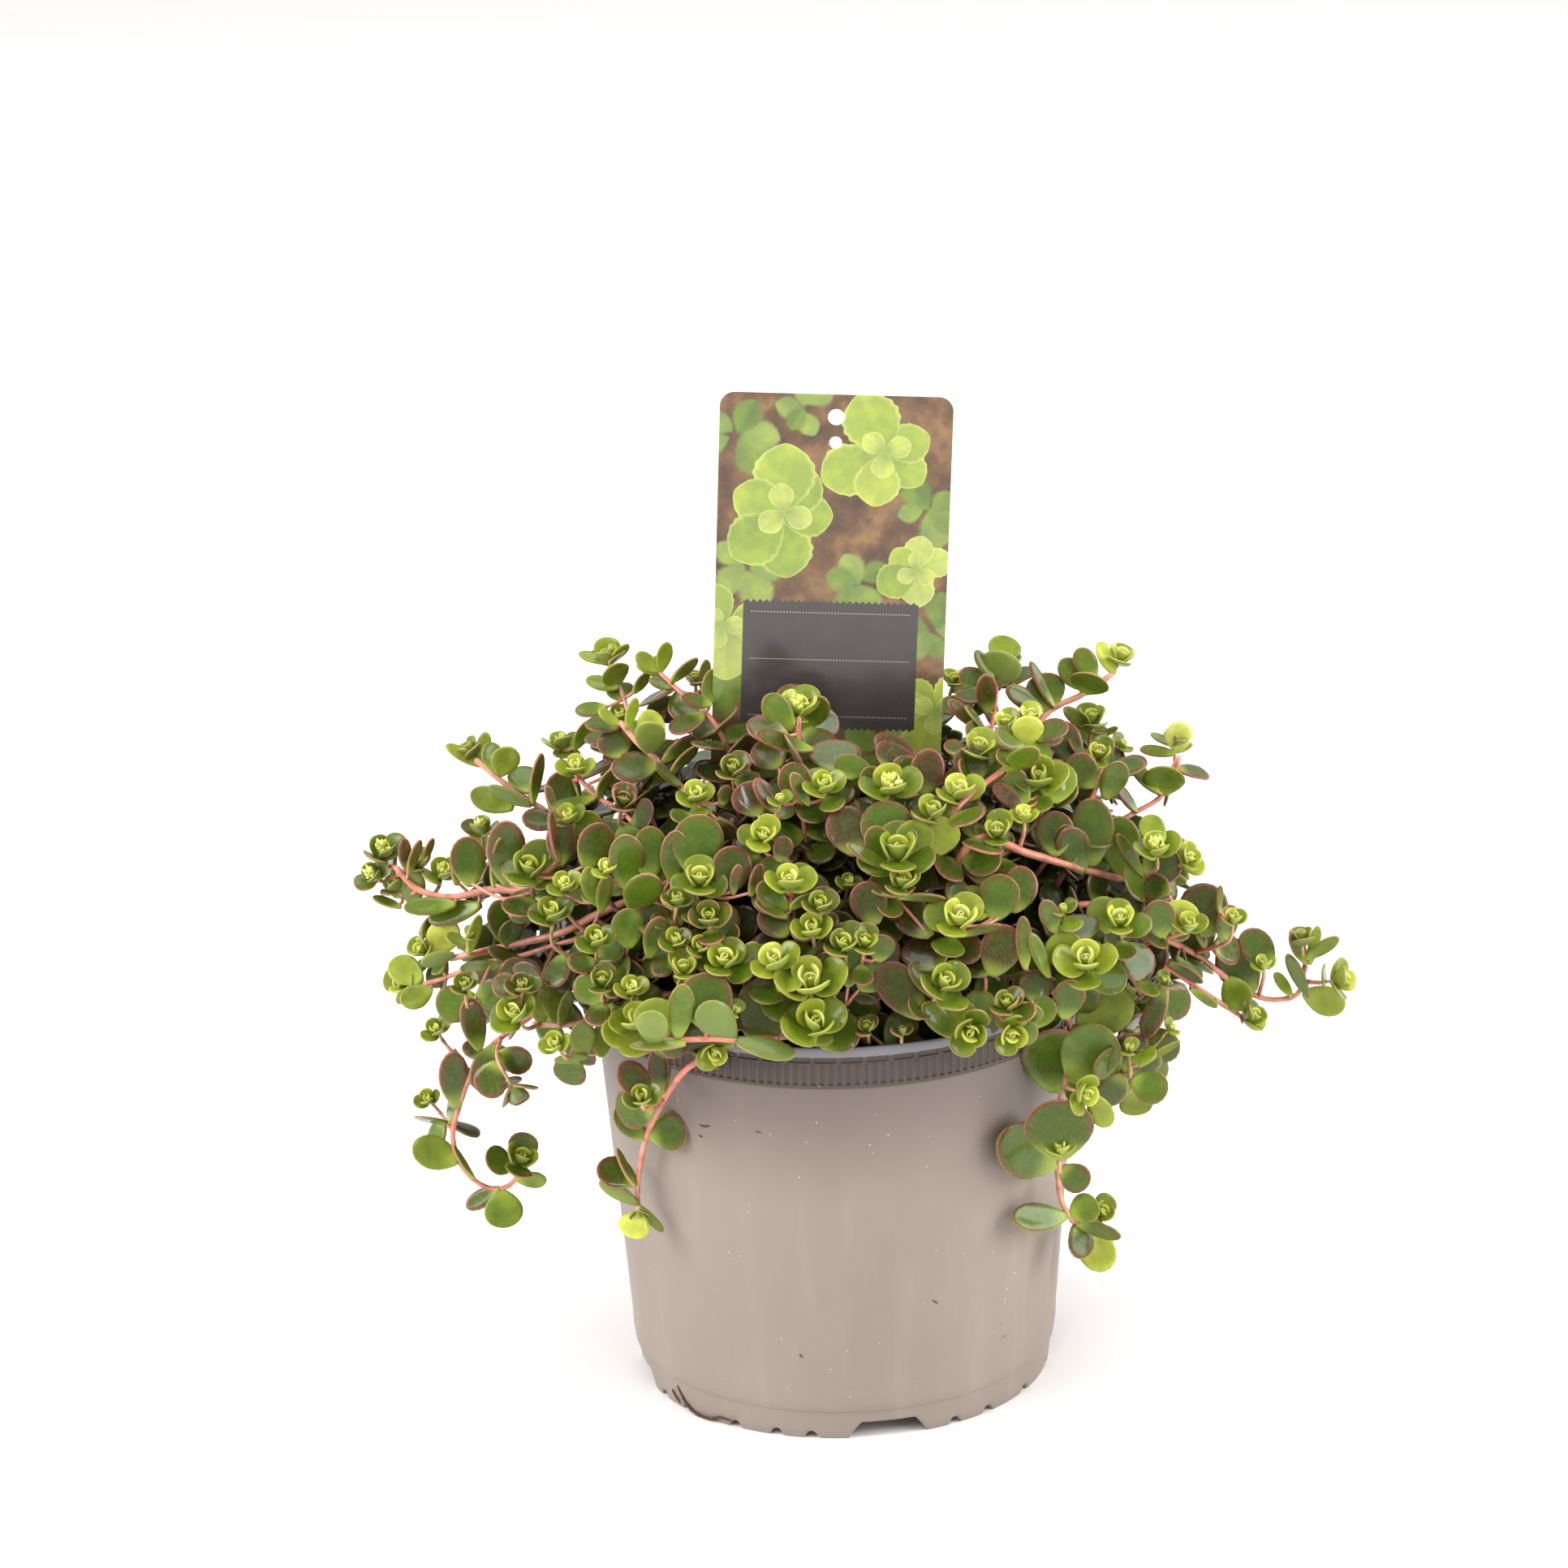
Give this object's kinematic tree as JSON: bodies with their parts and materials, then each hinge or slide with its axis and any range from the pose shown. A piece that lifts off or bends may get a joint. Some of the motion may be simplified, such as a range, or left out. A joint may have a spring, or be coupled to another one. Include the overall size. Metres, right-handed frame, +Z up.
{
  "type": "potted makino stonecrop",
  "caption": "Potted trailing stonecrop: a mound of round fleshy leaves on branching stems in a tapered plastic nursery pot, with soil and a plant label.",
  "frame": {"origin": "centre of the whole's bounding box across, on the plane that the pot stands on", "axes": "+Z up the pot's axis, -Y towards the side that the label's printed face and the fullest foliage show, +X to that view's right"},
  "size_m": [0.3454, 0.215, 0.3563],
  "materials": {
    "pot": "matte",
    "soil": "rough",
    "label": "satin",
    "shoot": "satin"
  },
  "bodies": {
    "root": {"plant_label": "label", "pot": "pot", "shoot_back_low_1": "shoot", "shoot_back_low_2": "shoot", "shoot_back_low_3": "shoot", "shoot_back_low_4": "shoot", "shoot_back_low_5": "shoot", "shoot_back_middle_1": "shoot", "shoot_back_middle_2": "shoot", "shoot_back_middle_3": "shoot", "shoot_back_middle_4": "shoot", "shoot_back_top_1": "shoot", "shoot_back_top_2": "shoot", "shoot_back_top_3": "shoot", "shoot_back_trail": "shoot", "shoot_centre": "shoot", "shoot_centre_b": "shoot", "shoot_centre_right": "shoot", "shoot_far_left": "shoot", "shoot_far_left_upper": "shoot", "shoot_far_right": "shoot", "shoot_front_centre": "shoot", "shoot_front_centre_left": "shoot", "shoot_front_left_big": "shoot", "shoot_front_left_trail": "shoot", "shoot_front_mid_right": "shoot", "shoot_front_right_a": "shoot", "shoot_front_right_b": "shoot", "shoot_left_centre": "shoot", "shoot_left_centre_b": "shoot", "shoot_left_centre_c": "shoot", "shoot_left_centre_d": "shoot", "shoot_left_dark": "shoot", "shoot_left_front_low": "shoot", "shoot_left_lime": "shoot", "shoot_left_low": "shoot", "shoot_left_mid": "shoot", "shoot_left_trail": "shoot", "shoot_right_big": "shoot", "shoot_right_face": "shoot", "shoot_right_face_b": "shoot", "shoot_right_low": "shoot", "shoot_right_mid_b": "shoot", "shoot_right_mid_low": "shoot", "shoot_right_top": "shoot", "shoot_right_trail": "shoot", "shoot_right_upper": "shoot", "shoot_top_centre": "shoot", "shoot_top_centre_b": "shoot", "shoot_top_centre_right": "shoot", "shoot_top_right_a": "shoot", "shoot_top_right_b": "shoot", "shoot_upper_dark": "shoot", "shoot_upper_front_big": "shoot", "shoot_upper_left_a": "shoot", "shoot_upper_left_b": "shoot", "shoot_upper_left_c": "shoot", "shoot_upper_right_c": "shoot", "shoot_upper_right_mid": "shoot", "soil": "soil"}
  },
  "joints": []
}
